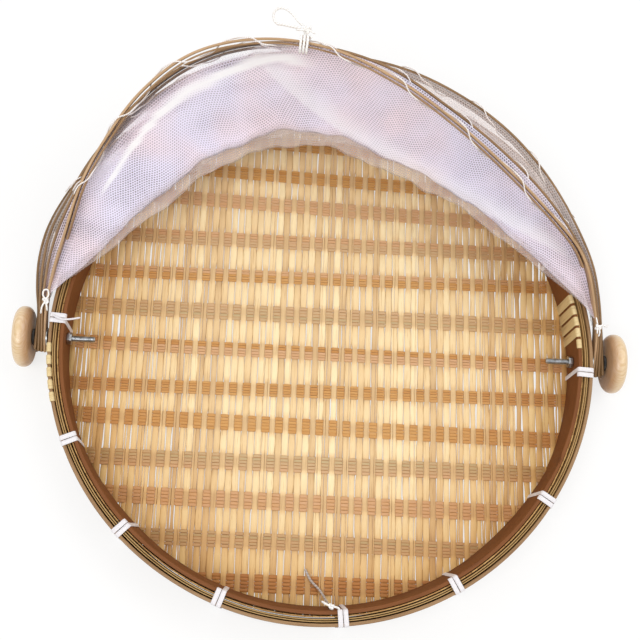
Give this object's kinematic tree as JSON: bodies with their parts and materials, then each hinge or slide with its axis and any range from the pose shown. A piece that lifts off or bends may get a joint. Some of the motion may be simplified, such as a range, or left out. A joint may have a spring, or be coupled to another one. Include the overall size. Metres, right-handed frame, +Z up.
{
  "type": "lidded bamboo basket",
  "caption": "Shallow round woven bamboo tray with a folding net cover on half hoops, shown open with the cover folded back.",
  "frame": {"origin": "on the table under the middle of the tray", "axes": "+Z up out of the tray; +X along the hoops' pivot line to the right; +Y to the back, where the open cover lies"},
  "size_m": [0.3968, 0.3699, 0.1231],
  "materials": {
    "splint": "raw bamboo splints, pale yellow to tan",
    "rim_bamboo": "brown bamboo hoop, semi-matte",
    "filler_bamboo": "tan bamboo strip, matte",
    "hoop_bamboo": "split bamboo strip with an olive-brown skin side",
    "bamboo_skin": "pale bamboo skin, satin",
    "knob_wood": "pale wood, clear varnish",
    "steel": "zinc-plated steel",
    "rubber": "black, matte",
    "string": "white twisted string and flat tape",
    "net": "fine see-through mesh, white with a lilac tint"
  },
  "bodies": {
    "tray": {"woven_mat": "splint", "rim_inner_hoop": "rim_bamboo", "rim_filler_inner": "filler_bamboo", "rim_filler_outer": "filler_bamboo", "rim_outer_hoop": "rim_bamboo", "rim_tie_01": "string", "rim_tie_02": "string", "rim_tie_03": "string", "rim_tie_04": "string", "rim_tie_05": "string", "rim_tie_06": "string", "rim_tie_07": "string", "rim_tie_08": "string", "rim_tie_09": "string", "rim_tie_10": "string", "rim_tie_11": "string", "rim_tie_12": "string", "rim_tie_13": "string", "rim_tie_14": "string", "left_skin_lashing": "bamboo_skin", "right_skin_lashing": "bamboo_skin", "rear_hoop_main_strip": "hoop_bamboo", "rear_hoop_cover_strip": "hoop_bamboo", "rear_hoop_thread": "string", "left_bolt": "steel", "left_nut": "steel", "left_inner_rubber_washer": "rubber", "left_steel_washer": "steel", "left_outer_rubber_washer": "rubber", "left_knob": "knob_wood", "right_bolt": "steel", "right_nut": "steel", "right_inner_rubber_washer": "rubber", "right_steel_washer": "steel", "right_outer_rubber_washer": "rubber", "right_knob": "knob_wood", "rear_net_panel": "net", "front_string_knot": "string", "front_string": "string"},
    "second_hoop": {"second_hoop_main_strip": "hoop_bamboo", "second_hoop_cover_strip": "hoop_bamboo", "second_hoop_thread": "string", "middle_net_panel": "net"},
    "third_hoop": {"third_hoop_main_strip": "hoop_bamboo", "third_hoop_cover_strip": "hoop_bamboo", "third_hoop_thread": "string", "front_net_panel": "net"},
    "front_hoop": {"front_hoop_main_strip": "hoop_bamboo", "front_hoop_cover_strip": "hoop_bamboo", "front_hoop_thread": "string", "top_string_tie": "string", "top_string_knot": "string", "top_string_loop": "string", "left_side_knot": "string", "right_side_knot": "string"}
  },
  "joints": [
    {"name": "second_hoop_swing", "type": "hinge", "parent": "tray", "child": "second_hoop", "pos_m": [0, 0, 0.017], "axis": [1, 0, 0], "range_deg": [0, 45], "deforming": ["rear_net_panel"]},
    {"name": "third_hoop_swing", "type": "hinge", "parent": "second_hoop", "child": "third_hoop", "pos_m": [0, 0, 0.017], "axis": [1, 0, 0], "range_deg": [0, 45], "deforming": ["middle_net_panel"]},
    {"name": "front_hoop_swing", "type": "hinge", "parent": "third_hoop", "child": "front_hoop", "pos_m": [0, 0, 0.017], "axis": [1, 0, 0], "range_deg": [0, 45], "deforming": ["front_net_panel"]}
  ],
  "couplings": [
    {"joint": "second_hoop_swing", "follows": "front_hoop_swing", "ratio": 1},
    {"joint": "third_hoop_swing", "follows": "front_hoop_swing", "ratio": 1}
  ]
}
